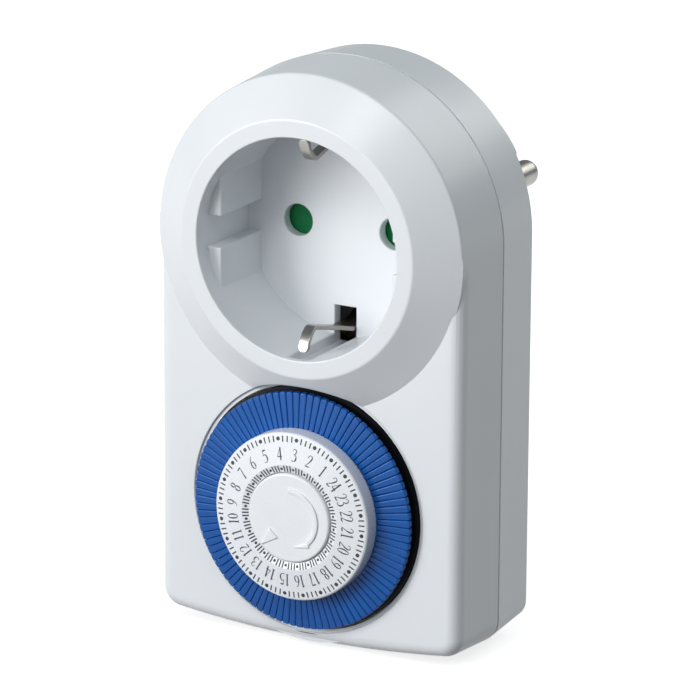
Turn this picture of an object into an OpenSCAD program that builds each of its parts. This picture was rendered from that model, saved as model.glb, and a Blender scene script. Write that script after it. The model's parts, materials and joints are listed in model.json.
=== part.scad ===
// Plug-in timer switch: a plug and a socket in one two-part housing, with a
// day dial of push-in segments that works a switch in the live line.
//
// Frame: the origin is the centre of the plug's face, between the two pins.
// +Y runs along the pins into the wall, +Z is up and the dial faces -Y.
// Every module draws looking at the front: x right, y up, z towards the user,
// with z = 0 on the plug's face. upright() then stands it up.

/* [Housing] */
// Width across the flanks, at the joint between the two shells
body_w = 61; // [60:0.5:64]
// From the socket's centre down to the lowest point of the bottom edge
body_drop = 72.5; // [72:0.5:78]
// Depth of the front shell, from the joint to the flat front
front_d = 13.4; // [13:0.2:15]
// Depth of the rear shell, from the joint to the rear face
rear_d = 13; // [12.6:0.2:15]
// Wall of both shells
wall = 2; // [1.6:0.1:2.2]
// Radius of the curved bottom edge
bottom_r = 220; // [150:10:400]
// Radius of the two bottom corners
corner_r = 4.4; // [3.8:0.2:5]
// Rounding of the front edge below the socket
edge_r = 2.3; // [1.2:0.1:2.6]
// Chamfer of the rear edge
rear_edge = 0.8; // [0.4:0.1:1.2]
// How much each side leans in from the joint to a face
draft = 0.8; // [0.4:0.1:1]
// Width of the groove that runs round the housing behind the joint
joint_gap_w = 0.35; // [0.2:0.05:0.5]
// Depth of that groove
joint_gap_d = 0.4; // [0.2:0.1:0.8]
// Height of the socket's head above the flat front
lip_rise = 4.45; // [3.6:0.05:5]
// Radius of the ridge between the sloped head and its flat lip
lip_r = 22.6; // [21.6:0.1:23.6]

/* [Socket] */
// Radius of the round recess that takes a plug
recess_r = 19.5; // [19.3:0.05:19.7]
// Depth of the recess below the lip
recess_d = 17.6; // [17.5:0.1:18]
// Wall around the recess
bowl_wall = 1.8; // [1.4:0.1:2]
// Thickness of the recess floor
floor_t = 2; // [1.8:0.1:2.2]
// Distance between the two pins, and between the two pin holes
pin_pitch = 19; // [18.8:0.1:19.2]
// Radius of a pin hole in the floor
hole_r = 2.85; // [2.7:0.05:2.95]
// Half the width between the keys at the sides of the recess
key_x = 16.75; // [16.6:0.05:16.95]
// Height of the slot between two keys
key_slot = 5.6; // [5.4:0.1:6]
// How far the keys stop short of the lip
key_short = 3.6; // [3:0.1:5]
// Width of the groove and window for an earth clip
clip_slot = 4.2; // [4.1:0.1:4.6]
// Depth of the groove outside the recess wall
clip_groove = 1.5; // [1.2:0.1:1.8]
// Inner end of the window in the floor, from the centre
window_y = 14.2; // [13.8:0.1:14.6]

/* [Plug] */
// Depth of the plug behind the rear face
boss_h = 19; // [18:0.5:21]
// Radius of the plug
boss_r = 18.5; // [18.3:0.1:18.6]
// Half the width across the plug's side flats
flat_x = 16.4; // [16.2:0.1:16.5]
// Height of the key on each side flat
flat_key = 4.6; // [4:0.1:4.8]
// Radius of a plug pin
pin_r = 2.4; // [2.35:0.01:2.4]
// Length of a plug pin beyond the plug's face
pin_len = 19; // [18.6:0.1:19.2]
// Thickness of the plug's face
face_t = 3; // [2.6:0.1:3.4]
// Width of the plug's two earth grooves
groove_w = 6.2; // [5.6:0.1:6.6]
// Distance of a groove's floor from the centre
groove_y = 15.4; // [15.2:0.1:15.6]

/* [Contacts] */
// Thickness of the earth strips
strip_t = 0.8; // [0.6:0.1:0.9]
// Width of the earth strips
strip_w = 4; // [3.6:0.1:4]
// Width of the hook at the end of an earth clip
hook_w = 1.9; // [1.6:0.1:2.4]
// Distance of a clip's contact point from the centre
clip_y = 14.6; // [14.4:0.1:15.2]
// Thickness of the brass strips and jaws
brass_t = 0.6; // [0.5:0.1:0.7]
// Turn of the shutter that frees both pin holes, in degrees
shutter_turn = 38; // [37:0.5:39]

/* [Dial] */
// From the socket's centre down to the dial's centre
dial_drop = 47.2; // [47:0.1:48]
// Radius of the ring of switching segments
ring_r = 21.3; // [20.9:0.1:21.6]
// Radius of the black carrier under the segments
carrier_r = 21.7; // [20.6:0.1:21.8]
// Radius of the white number ring
number_r = 14.9; // [14.5:0.1:15]
// Radius of the fixed cap in the middle
cap_r = 7.95; // [7:0.05:8.2]
// Gap between the segments and the rim of the dial's recess
recess_gap = 1.3; // [1:0.1:1.5]
// Depth of the step inside that rim
rim_step = 0.5; // [0.3:0.1:0.8]
// Depth of the recess that the dial sits in
dial_recess = 2; // [1.8:0.1:2.2]
// Segments around the dial, one for each quarter of an hour
segment_count = 96; // [96]
// Travel of a segment when it is pushed in
push = 1.6; // [1.2:0.1:1.6]
// Gap between two segments
segment_gap = 0.14; // [0.1:0.02:0.2]
// Direction of the mark for hour 4, counter-clockwise from the right
hour4_dir = 100.4; // [95:0.1:105]

/* [Movement] */
// Module of all gears
gear_m = 0.5; // [0.5]
// Teeth of the dial's gear
dial_teeth = 48; // [48]
// Teeth of every pinion
pinion_teeth = 12; // [12]
// Teeth of the first wheel
wheel1_teeth = 48; // [48]
// Teeth of the second wheel
wheel2_teeth = 40; // [40]
// Thickness of the two movement plates
plate_t = 1.6; // [1.4:0.1:1.8]
// Radius of the post that the dial turns on
post_r = 3; // [2.6:0.1:3.2]
// Radius of the motor's case
motor_r = 11; // [9:0.5:11.2]
// Depth of the motor's case
motor_h = 7.3; // [6:0.1:7.3]

/* [Fits] */
// Radial gap of a turning fit
run = 0.05; // [0.03:0.01:0.08]
// Radial gap of a fixed fit
seat = 0.03; // [0.02:0.01:0.04]
// Clearance between pieces that pass each other
clear = 0.3; // [0.25:0.05:0.35]

/* [Hidden] */
$fn = 72;

function segment_name(h) = str("segments_hour_", h < 10 ? "0" : "", h);

// Levels above the plug's face
rear_face = boss_h;
joint_z = rear_face + rear_d;
front_face = joint_z + front_d;
lip_face = front_face + lip_rise;
floor_front = lip_face - recess_d;
floor_back = floor_front - floor_t;
half_w = body_w / 2;
// The flanks stand this much inside the round head, so that the two cross in an edge
flank_inset = 0.02;
// Height of the head's rim below the flat front
rim_low = 0.3;
ridge_z = front_face - rim_low;
fuse = 0.5;
slice = 0.01;

// Corner and bottom arcs of the outline
corner_x = half_w - flank_inset - corner_r;
bottom_mid = bottom_r - body_drop;
corner_y = bottom_mid - sqrt(pow(bottom_r - corner_r, 2) - pow(corner_x, 2));
corner_dir = 360 + atan2(corner_y - bottom_mid, -corner_x);

// Housing screws
screw_r = 1.25;
screw_head_r = 2.5;
screw_head_h = 1.8;
screw_seat = rear_face + 7;
screw_end = joint_z + 8;
pilot_depth = 8.6;
front_boss_r = 2.7;
rear_boss_r = 4.4;
head_screw_dir = 45;
head_screw_r = (recess_r + bowl_wall + half_w - wall - draft) / 2;
low_screw = [half_w - 5.6, -body_drop + 7.1];
screw_places = [
    for (s = [-1, 1]) head_screw_r * [s * cos(head_screw_dir), sin(head_screw_dir)],
    for (s = [-1, 1]) [s * low_screw.x, low_screw.y]];

// Socket insert
shutter_t = 2;
shutter_back = floor_back - clear - shutter_t;
insert_top = shutter_back - clear;
insert_t = 2;
insert_back = insert_top - insert_t;
insert_r = 17.8;
insert_flat = groove_y - 1;
pin_x = pin_pitch / 2;
lobe_half = shutter_turn - asin(hole_r / pin_x) - 1;
lobe_reach = pin_x + hole_r + 0.35;
pivot_r = 1;
hub_r = 4;
spring_pocket_r = 2.7;
spring_depth = 1.5;
spring_wire = 0.4;
insert_spots = [for (s = [-1, 1]) 11 * [s, -s]];
insert_boss_r = 1.8;
insert_screw_r = 0.9;
tower_half = 4.3;
tower_hole = 3.4;
jaw_w = 5;
jaw_grip = pin_r + brass_t / 2 - 0.2;
jaw_side = jaw_grip + 0.5;
jaw_base = -brass_t + boss_h / 2 + 0.6;
jaw_mouth = insert_back - clear;
stud_r = 1.5;
root_r = pin_r + 0.4;
collar_r = 3.6;
collar_t = 1;
tail_w = 4;

// Earth strips
strip_y = groove_y + 0.05;
bridge_z = rear_face + wall + clear + 0.2;
clip_out = strip_y + 1.95;
clip_top_z = front_face - 1.4;
clip_low_z = floor_front + 0.6;
// The hook bends tightly at its contact point and then widely to its tip
clip_bend_r = 1.3;
hook_bend_r = 5;
hook_start_dir = 35;
hook_end_dir = 84;

// Dial
dial = [0, -dial_drop];
dial_floor = front_face - dial_recess;
rim_r = ring_r + recess_gap;
opening_r = 19.2;
guide_r = opening_r - 0.6;
disc_back = dial_floor + 0.2;
disc_top = disc_back + 1.4;
guide_back = disc_back - 1.8;
segment_back = disc_top + push + 0.1;
segment_top = segment_back + 1.4;
segment_in = number_r + 0.2;
segment_slope = 0.6;
stem_in = segment_in + 0.1;
stem_out = stem_in + 1.6;
stem_t = 0.56;
stem_gap = 0.07;
stem_end = guide_back - 0.2;
pitch_deg = 360 / segment_count;
cap_top = segment_top + 4.1;
cap_t = 1.6;
number_face = segment_top + 3.8;
number_fall = 0.8;
number_wall = 1.2;
number_edge = 0.4;
hub_wall = 2.35;
cap_stem_r = 1.2;
cap_stem_len = 6;

// Movement, from the dial's gear back to the motor
gear_t = 1.6;
gear_top = stem_end - push - clear - 0.1;
gear_back = gear_top - gear_t;
front_plate_top = gear_back - 0.4;
front_plate_back = front_plate_top - plate_t;
wheel1_top = front_plate_back - 0.5;
wheel_t = 1.4;
wheel2_top = wheel1_top - wheel_t - 0.7;
rear_plate_top = wheel2_top - wheel_t - 0.8;
rear_plate_back = rear_plate_top - plate_t;
pressure = 25;
addendum = 0.8 * gear_m;
dedendum = 1.05 * gear_m;
tooth_play = 0.06;
arbor_r = 0.6;
sleeve_r = 1.5;
function pitch_r(teeth) = gear_m * teeth / 2;
arm1 = pitch_r(dial_teeth) + pitch_r(pinion_teeth);
arm2 = pitch_r(wheel1_teeth) + pitch_r(pinion_teeth);
arm3 = pitch_r(wheel2_teeth) + pitch_r(pinion_teeth);
dir1 = 210;
dir2 = 10;
dir3 = 10;
axis1 = dial + arm1 * [cos(dir1), sin(dir1)];
axis2 = axis1 + arm2 * [cos(dir2), sin(dir2)];
axis3 = axis2 + arm3 * [cos(dir3), sin(dir3)];
motor_mid = axis3 + [-1, 4];
motor_wall = 0.8;
motor_top = rear_plate_back - motor_wall;
motor_back = motor_top - motor_h;
rotor_r = 4.2;
peg_r = 0.9;
post_spots = [for (p = [[-23.5, 16.2], [23.5, 16.2], [-23.5, 2.8], [15.5, -18.8]]) dial + p];
plate_x = 26;
pillar_r = 2.2;
pillars = [dial + [-22, 9.2], dial + [23.6, 11.2], dial + [5, -18.6]];
small_screw_r = 0.9;
small_head_r = 1.8;
small_head_h = 1.2;

// Switch above the dial's top edge
nose_r = stem_in + 0.8;
nose_y = dial.y + nose_r;
lever_arm = 5.6;
lever_y = nose_y + lever_arm;
lever_z = stem_end - 1.8;
lever_hub_r = 1.6;
lever_pin_r = 0.8;
lever_half = 3.8;
nose_w = 2;
nose_gap = 0.3;
blade_t = 0.4;
blade_w = 4;
blade_top = lever_z - 3.4;
tab_t = 0.8;
contact_y = nose_y + 0.2;
contact_r = 1.3;
contact_h = 0.8;
contact_gap = 1;
fixed_top = blade_top - blade_t - contact_h - contact_gap;
leg_back = rear_face + wall + clear + 1.2;

module upright() {
    rotate([90, 0, 0]) children();
}

module mirror_x() {
    children();
    mirror([1, 0, 0]) children();
}

module mirror_y() {
    children();
    mirror([0, 1, 0]) children();
}

module rod(r, z0, z1, spot = [0, 0]) {
    translate([spot.x, spot.y, z0]) cylinder(r = r, h = z1 - z0);
}

module bar(x0, x1, y0, y1, z0, z1) {
    translate([x0, y0, z0]) cube([x1 - x0, y1 - y0, z1 - z0]);
}

// Extrudes an outline drawn as [depth z, height y] across x, centred on x0
module side_cut(points, width, x0 = 0) {
    translate([x0 - width / 2, 0, 0]) rotate([90, 0, 90]) linear_extrude(width)
        polygon([for (p = points) [p.y, p.x]]);
}

function arc(mid, r, from, to, steps) =
    [for (i = [0 : steps]) mid + r * [cos(from + (to - from) * i / steps),
                                      sin(from + (to - from) * i / steps)]];

// A strip of even thickness t along a path, mitred at its bends
function unit(v) = v / norm(v);
function side_of(a, b) = let (u = unit(b - a)) [-u.y, u.x];
function miter(path, i) =
    let (n = len(path) - 1,
         a = side_of(path[max(i - 1, 0)], path[max(i, 1)]),
         b = side_of(path[min(i, n - 1)], path[min(i + 1, n)]),
         m = unit(a + b))
    m / (m * a);
function strip(path, t) = concat(
    [for (i = [0 : len(path) - 1]) path[i] + miter(path, i) * t / 2],
    [for (i = [len(path) - 1 : -1 : 0]) path[i] - miter(path, i) * t / 2]);

// Outline below the socket's centre, moved in by d on every side
function low_outline(d) = concat(
    [[half_w - flank_inset - d, 0], [half_w - 3 - d, 6], [-half_w + 3 + d, 6],
     [-half_w + flank_inset + d, 0]],
    arc([-corner_x, corner_y], corner_r - d, 180, corner_dir, 8),
    arc([0, bottom_mid], bottom_r - d, corner_dir, 540 - corner_dir, 16),
    arc([corner_x, corner_y], corner_r - d, 540 - corner_dir, 360, 8));

module outline_slice(z, d) {
    translate([0, 0, z]) linear_extrude(slice) polygon(low_outline(d));
}

// ---- Housing ----

// How far the sides have leaned in at a height z of the front shell
function front_lean(z) = draft * (z - joint_z) / (ridge_z - joint_z);

// Both bodies run on past the joint, where joint_cut() ends them
module front_body() {
    low = joint_z - fuse;
    hull() {
        outline_slice(low, front_lean(low));
        for (t = [0 : 15 : 90]) {
            z = front_face - edge_r * (1 - sin(t)) - slice;
            outline_slice(z, front_lean(z) + edge_r * (1 - cos(t)));
        }
    }
    rotate_extrude($fn = 144) polygon([
        [0, low], [half_w - front_lean(low), low],
        [half_w - draft, ridge_z], [lip_r, lip_face], [0, lip_face]]);
}

module joint_cut(side) {
    translate([-body_w, -2 * body_w, joint_z - (side < 0 ? body_w : 0)]) cube(body_w * [2, 3, 1]);
}

module front_cavity() {
    inner = front_face - wall;
    low = joint_z - 2 * fuse;
    hull() {
        outline_slice(low, wall);
        outline_slice(inner - slice, wall + draft + 0.6);
    }
    rotate_extrude() polygon([
        [0, low], [half_w - wall, low], [half_w - wall - draft, inner], [0, inner]]);
}

module recess_section() {
    difference() {
        circle(recess_r, $fn = 144);
        mirror_x() difference() {
            translate([key_x, -recess_r]) square([recess_r, 2 * recess_r]);
            translate([key_x - 1, -key_slot / 2]) square([recess_r, key_slot]);
        }
    }
}

module front_shell() color("#e6e8ee") upright() difference() {
    union() {
        difference() {
            front_body();
            front_cavity();
            joint_cut(-1);
        }
        rod(recess_r + bowl_wall, floor_back, front_face - fuse);
        // Channel that the earth clips spring back into
        channel = recess_r + clip_groove + wall;
        bar(-clip_slot / 2 - bowl_wall, clip_slot / 2 + bowl_wall, -channel, channel,
            floor_back, front_face - fuse);
        rod(rim_r + bowl_wall, dial_floor - 1.8, front_face - fuse, dial);
        for (p = screw_places) rod(front_boss_r, joint_z, front_face - fuse, p);
        for (p = post_spots) rod(2.4, front_plate_top, front_face - fuse, p);
        for (p = insert_spots) rod(insert_boss_r, insert_top, floor_back + fuse, p);
    }
    // Recess for the plug, its keys, grooves, windows and pin holes
    translate([0, 0, floor_front]) linear_extrude(recess_d - key_short) recess_section();
    rod(recess_r, lip_face - key_short - slice, lip_face + 1, $fn = 144);
    bar(-clip_slot / 2, clip_slot / 2, -recess_r - clip_groove, recess_r + clip_groove,
        floor_front, lip_face - 1.5);
    mirror_y() bar(-clip_slot / 2, clip_slot / 2, window_y, recess_r + clip_groove,
        floor_back - 1, floor_front + 1);
    mirror_x() rod(hole_r, floor_back - 1, floor_front + 1, [pin_x, 0]);
    rod(pivot_r + seat, floor_back - 1, floor_back + 1, [0, 0], $fn = 48);
    // Stepped recess for the dial and the opening for its gear
    rod(rim_r, front_face - rim_step, lip_face + 1, dial, $fn = 144);
    rod(carrier_r + clear, dial_floor, front_face, dial, $fn = 144);
    rod(opening_r, dial_floor - 3, dial_floor + 1, dial, $fn = 144);
    // Screw pilots
    for (p = screw_places) rod(screw_r + seat, joint_z - 1, joint_z + pilot_depth, p);
    for (p = post_spots) rod(small_screw_r + seat, front_plate_top - 1, front_plate_top + 4.6, p);
    for (p = insert_spots) rod(insert_screw_r + seat, insert_top - 1, insert_top + 2.6, p);
}

module rear_body() {
    high = joint_z + fuse;
    // The sides go on leaning out past the joint
    past = draft * fuse / (rear_d - rear_edge);
    hull() {
        outline_slice(rear_face, draft + rear_edge);
        outline_slice(rear_face + rear_edge, draft);
        outline_slice(high - slice, -past);
    }
    rotate_extrude($fn = 144) polygon([
        [0, rear_face], [half_w - draft - rear_edge, rear_face],
        [half_w - draft, rear_face + rear_edge], [half_w + past, high], [0, high]]);
}

module rear_cavity() {
    high = joint_z + 2 * fuse;
    hull() {
        outline_slice(rear_face + wall, wall + draft);
        outline_slice(high, wall);
    }
    rotate_extrude() polygon([
        [0, rear_face + wall], [half_w - wall - draft, rear_face + wall],
        [half_w - wall, high], [0, high]]);
}

// Cross-section of the plug: a round with side flats, a key on each and two grooves
module plug_section() {
    difference() {
        intersection() {
            circle(boss_r, $fn = 144);
            union() {
                square([2 * flat_x, 2 * boss_r], center = true);
                square([2 * boss_r, flat_key], center = true);
            }
        }
        mirror_y() translate([-groove_w / 2, groove_y]) square([groove_w, boss_r]);
    }
}

module plug_hollow() {
    difference() {
        intersection() {
            circle(boss_r - wall, $fn = 96);
            square([2 * (flat_x - wall), 2 * boss_r], center = true);
        }
        mirror_y() translate([-groove_w / 2 - wall, groove_y - wall])
            square([groove_w + 2 * wall, boss_r]);
    }
}

module joint_groove() {
    difference() {
        translate([-body_w, -2 * body_w, joint_z - joint_gap_w]) cube([2 * body_w, 3 * body_w, 1]);
        translate([0, 0, joint_z - 1]) linear_extrude(3) {
            polygon(low_outline(joint_gap_d));
            circle(half_w - joint_gap_d, $fn = 144);
        }
    }
}

module rear_shell() color("#e2e4e8") upright() difference() {
    union() {
        difference() {
            rear_body();
            rear_cavity();
        }
        linear_extrude(rear_face + fuse) plug_section();
        for (p = screw_places) rod(rear_boss_r, rear_face + wall / 2, joint_z + fuse, p);
    }
    joint_cut(1);
    joint_groove();
    // Room for the bowl of the socket
    rod(recess_r + bowl_wall + clear, floor_back - clear, joint_z + 1);
    translate([0, 0, face_t]) linear_extrude(rear_face + wall - face_t + 1) plug_hollow();
    mirror_x() rod(root_r + seat, -1, face_t + 1, [pin_x, 0]);
    // Slots where the earth strips pass the rear wall
    mirror_y() bar(-strip_w / 2 - 0.1, strip_w / 2 + 0.1, groove_y, strip_y + strip_t + 0.1,
        rear_face - 1, rear_face + wall + 1);
    for (p = screw_places) {
        rod(screw_head_r + 0.4, rear_face - 1, screw_seat, p);
        rod(screw_r + seat, screw_seat - 1, joint_z + 1, p);
    }
}

// Cross slot in a screw's head, cut from below
module screw(r, head_r, head_h, z_seat, z_end, p) {
    difference() {
        union() {
            rod(head_r, z_seat - head_h, z_seat, p);
            rod(r, z_seat - fuse, z_end, p);
        }
        slot_w = head_r * 0.3;
        for (a = [0, 90]) translate([p.x, p.y, z_seat - head_h]) rotate(a)
            cube([head_r * 1.2, slot_w, head_h], center = true);
    }
}

module housing_screws() color("silver") upright()
    for (p = screw_places) screw(screw_r, screw_head_r, screw_head_h, screw_seat, screw_end, p);

// ---- Socket insert and contacts ----

module socket_carrier() color("#d9d4c4") upright() difference() {
    union() {
        intersection() {
            rod(insert_r, insert_back, insert_top);
            bar(-insert_r, insert_r, -insert_flat, insert_flat, insert_back, insert_top);
        }
        mirror_x() bar(pin_x - tower_half, pin_x + tower_half, -tower_half, tower_half,
            jaw_base - brass_t / 2, insert_back + slice);
    }
    mirror_x() {
        rod(hole_r, insert_back - 1, insert_top + 1, [pin_x, 0]);
        bar(pin_x - tower_hole, pin_x + tower_hole, -tower_hole, tower_hole,
            jaw_base - brass_t - 1, insert_back);
        // Slot for the jaw's tail
        bar(pin_x - tail_w / 2 - 0.1, pin_x + tail_w / 2 + 0.1, -tower_half - 1, 0,
            jaw_mouth - brass_t - 0.4, insert_back);
    }
    rod(pivot_r + seat, insert_top - 1.6, insert_top + 1, $fn = 48);
    rod(spring_wire / 2 + 0.1, insert_top - 1.5, insert_top + 1, [0, -1.75], $fn = 24);
    for (p = insert_spots) rod(insert_screw_r + 0.15, insert_back - 1, insert_top + 1, p);
}

module carrier_screws() color("silver") upright() for (p = insert_spots)
    screw(insert_screw_r, small_head_r, small_head_h, insert_back, insert_top + 2.4, p);

module shutter() color("#0a7a45") upright() difference() {
    union() {
        rod(hub_r, shutter_back, shutter_back + shutter_t);
        translate([0, 0, shutter_back]) linear_extrude(shutter_t) mirror_x()
            polygon(concat([[0, 0]], arc([0, 0], lobe_reach, -lobe_half, lobe_half, 12)));
    }
    rod(pivot_r + run, shutter_back - 1, floor_back + 1, $fn = 48);
    rod(spring_pocket_r, shutter_back - 1, shutter_back + spring_depth);
    // Slot that the spring's free leg pushes in
    bar(-spring_wire, spring_wire, 0, hub_r - 0.4, shutter_back - 1, shutter_back + spring_depth);
}

module shutter_pivot() color("silver") upright()
    rod(pivot_r, insert_top - 1.5, floor_back + 0.9, $fn = 48);

// Torsion coil: a fixed leg down into the insert and a free leg out to the shutter
module shutter_spring() color("#8c8f94") upright() {
    coil_r = 1.75;
    turns = 2.5;
    low = insert_top + spring_wire / 2 + 0.05;
    high = low + turns * 0.43;
    tube(concat(
        [[0, -coil_r, insert_top - 1.3], [0, -coil_r, insert_top + 0.2]],
        [for (i = [1 : 12 * turns - 1]) let (a = -90 + 30 * i)
            [coil_r * cos(a), coil_r * sin(a), low + (high - low) * i / (12 * turns)]],
        [[0, coil_r, high], [0, hub_r - 0.8, high]]), spring_wire / 2);
}

// Path of a jaw as [z, y]: a base, two arms that grip a pin, and a flared mouth
jaw_path = let (half = [
        [jaw_mouth, jaw_side], [jaw_mouth - 2.5, jaw_grip], [jaw_base + 6, jaw_grip],
        [jaw_base + 2, jaw_side], [jaw_base, jaw_side]])
    concat(half, [for (i = [len(half) - 1 : -1 : 0]) [half[i].x, -half[i].y]]);

module jaw(x0) {
    side_cut(strip(jaw_path, brass_t), jaw_w, x0);
}

module jaw_tail(x0, y_end) {
    tail_top = jaw_mouth + brass_t / 2;
    bar(x0 - tail_w / 2, x0 + tail_w / 2, y_end, -jaw_side, tail_top - brass_t, tail_top);
}

module neutral_jaw() color("#c9a24a") upright() {
    jaw(pin_x);
    jaw_tail(pin_x, -8);
}

module live_jaw() color("#c9a24a") upright() {
    jaw(-pin_x);
    jaw_tail(-pin_x, -insert_flat - 4);
    // Down and across behind the insert, then forward above the dial
    plate_top = jaw_mouth + brass_t / 2;
    bend_y = lever_y - 0.8;
    translate([0, 0, plate_top - brass_t]) linear_extrude(brass_t)
        polygon([[-pin_x - tail_w / 2, -insert_flat - 3], [-pin_x + tail_w / 2, -insert_flat - 3],
                 [-pin_x + tail_w / 2, -insert_flat - 5], [blade_w / 2, bend_y + 2], [blade_w / 2, bend_y],
                 [-pin_x + 2, bend_y], [-pin_x - tail_w / 2, -insert_flat - 6]]);
    difference() {
        union() {
            bar(-blade_w / 2, blade_w / 2, bend_y, bend_y + brass_t, plate_top - brass_t,
                blade_top - blade_t);
            bar(-blade_w / 2, blade_w / 2, bend_y - 2.4, bend_y + brass_t,
                blade_top - blade_t - tab_t, blade_top - blade_t);
        }
        rod(0.6 + seat, blade_top - 3, blade_top + 1, [0, bend_y - 1.2], $fn = 24);
    }
}

module moving_contact() color("#d8b870") upright() {
    bend_y = lever_y - 0.8;
    bar(-blade_w / 2, blade_w / 2, contact_y - 1.8, bend_y + brass_t, blade_top - blade_t, blade_top);
    rod(0.6, blade_top - blade_t - tab_t, blade_top - slice, [0, bend_y - 1.2], $fn = 24);
    rod(contact_r, blade_top - blade_t - contact_h, blade_top - blade_t + slice, [0, contact_y]);
}

// A plug pin with a root in the plug's face, a collar behind it and a stud to z = inner
module plug_pin(inner) {
    rotate_extrude() polygon(concat(
        [[0, inner], [stud_r, inner], [stud_r, face_t + collar_t], [collar_r, face_t + collar_t],
         [collar_r, face_t], [root_r, face_t], [root_r, 0], [pin_r, 0]],
        arc([0, -pin_len + pin_r], pin_r, 0, -90, 10)));
}

module neutral_pin() color("#c8ccd0") upright() translate([pin_x, 0, 0])
    plug_pin(jaw_base - brass_t / 2);

module live_pin() color("#c8ccd0") upright() translate([-pin_x, 0, 0])
    plug_pin(face_t + collar_t + tab_t + 0.6);

module live_strip() color("#c9a24a") upright() {
    pin_plate = face_t + collar_t;
    low = -10.6;
    leg_y = contact_y - 2.2;
    difference() {
        bar(-pin_x - tail_w / 2, -pin_x + tail_w / 2, low, 2.6, pin_plate, pin_plate + tab_t);
        rod(stud_r + seat, 0, pin_plate + 2, [-pin_x, 0]);
    }
    bar(-pin_x - tail_w / 2, -pin_x + tail_w / 2, low - tab_t, low, pin_plate, leg_back + tab_t);
    // Flat run down and across to the switch, just inside the rear wall
    translate([0, 0, leg_back]) linear_extrude(tab_t)
        polygon([[-pin_x - tail_w / 2, low - tab_t], [-pin_x + tail_w / 2, low - tab_t],
                 [-pin_x + tail_w / 2, low - 12], [blade_w / 2, leg_y + 2], [blade_w / 2, leg_y],
                 [-pin_x + 2, leg_y], [-pin_x - tail_w / 2, low - 14]]);
    bar(-blade_w / 2, blade_w / 2, leg_y, leg_y + tab_t, leg_back, fixed_top - contact_h);
    bar(-blade_w / 2, blade_w / 2, leg_y, contact_y + 1.6,
        fixed_top - contact_h - tab_t, fixed_top - contact_h);
    rod(contact_r, fixed_top - contact_h - slice, fixed_top, [0, contact_y]);
}

// Path of an earth strip as [z, y], from the plug's groove to the hook in the recess
function earth_path() =
    let (start = [clip_low_z, clip_out + strip_t / 2],
         contact = [clip_top_z, clip_y + strip_t / 2],
         lean = atan2(start.y - contact.y, contact.x - start.x),
         bend = contact + [0, clip_bend_r],
         shift = (clip_bend_r - hook_bend_r) * [sin(hook_start_dir), -cos(hook_start_dir)])
    concat(
        [[1.5, strip_y + strip_t / 2], [bridge_z + 2, strip_y + strip_t / 2],
         [floor_back - 2.4, start.y], start],
        arc(bend, clip_bend_r, 270 - lean, 270 + hook_start_dir, 5),
        arc(bend + shift, hook_bend_r, 280 + hook_start_dir, 270 + hook_end_dir, 4));

module earth_strip() {
    taper_z = floor_front + 3;
    intersection() {
        side_cut(strip(earth_path(), strip_t), strip_w);
        union() {
            bar(-strip_w / 2, strip_w / 2, 0, 30, 0, floor_front + 0.5);
            rotate([90, 0, 0]) translate([0, 0, -30]) linear_extrude(30)
                polygon([[-strip_w / 2, floor_front + 0.5], [strip_w / 2, floor_front + 0.5],
                         [hook_w / 2, taper_z], [hook_w / 2, lip_face], [-hook_w / 2, lip_face],
                         [-hook_w / 2, taper_z]]);
        }
    }
}

module earth_strip_top() color("#b9bbb8") upright() earth_strip();

module earth_strip_bottom() color("#b9bbb8") upright() mirror([0, 1, 0]) earth_strip();

module earth_bridge() color("#b9bbb8") upright() {
    y_in = strip_y - 0.02;
    bar(-strip_w / 2, strip_w / 2, -y_in, y_in, bridge_z, bridge_z + strip_t);
    mirror_y() bar(-strip_w / 2, strip_w / 2, y_in - strip_t, y_in, bridge_z, bridge_z + 2);
}

// ---- Dial ----

module sector(r0, r1, width_in, width_out) {
    polygon([[r0, -width_in / 2], [r1, -width_out / 2], [r1, width_out / 2], [r0, width_in / 2]]);
}

function chord(r) = 2 * r * sin(pitch_deg / 2) - segment_gap;

module segment() {
    // Pad that the finger pushes, sloping a little towards its outer end
    intersection() {
        translate([0, 0, segment_back]) linear_extrude(segment_top - segment_back)
            sector(segment_in, ring_r, chord(segment_in), chord(ring_r));
        rotate([90, 0, 0]) translate([0, 0, -2]) linear_extrude(4)
            polygon([[segment_in, segment_back], [ring_r, segment_back],
                     [ring_r, segment_top - segment_slope - 0.3],
                     [ring_r - 0.4, segment_top - segment_slope], [segment_in, segment_top]]);
    }
    // Stem that reaches the switch behind the dial
    bar(stem_in, stem_out, -stem_t / 2, stem_t / 2, stem_end, segment_back + slice);
}

module hour_segments(h) color("#2a5ba8") upright() translate([dial.x, dial.y, 0])
    for (q = [0 : 3]) rotate(hour4_dir + 15 * (h - 4) + pitch_deg * q) segment();

function involute(a) = tan(a) * 180 / PI - a;
function flank(teeth, r) =
    let (base = pitch_r(teeth) * cos(pressure))
    90 / teeth + involute(pressure) - involute(r > base ? acos(base / r) : 0)
        - tooth_play / pitch_r(teeth) * 180 / PI;
function tooth(teeth, a) =
    let (root = pitch_r(teeth) - dedendum, tip = pitch_r(teeth) + addendum, steps = 4)
    concat(
        [for (i = [0 : steps]) let (r = root + (tip - root) * i / steps)
            r * [cos(a - flank(teeth, r)), sin(a - flank(teeth, r))]],
        [for (i = [steps : -1 : 0]) let (r = root + (tip - root) * i / steps)
            r * [cos(a + flank(teeth, r)), sin(a + flank(teeth, r))]]);

// A spur gear with tooth 0 pointing along dir
module gear(teeth, dir, z0, z1, spot) {
    translate([spot.x, spot.y, z0]) rotate(dir) linear_extrude(z1 - z0)
        polygon([for (k = [0 : teeth - 1]) each tooth(teeth, 360 * k / teeth)]);
}

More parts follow.
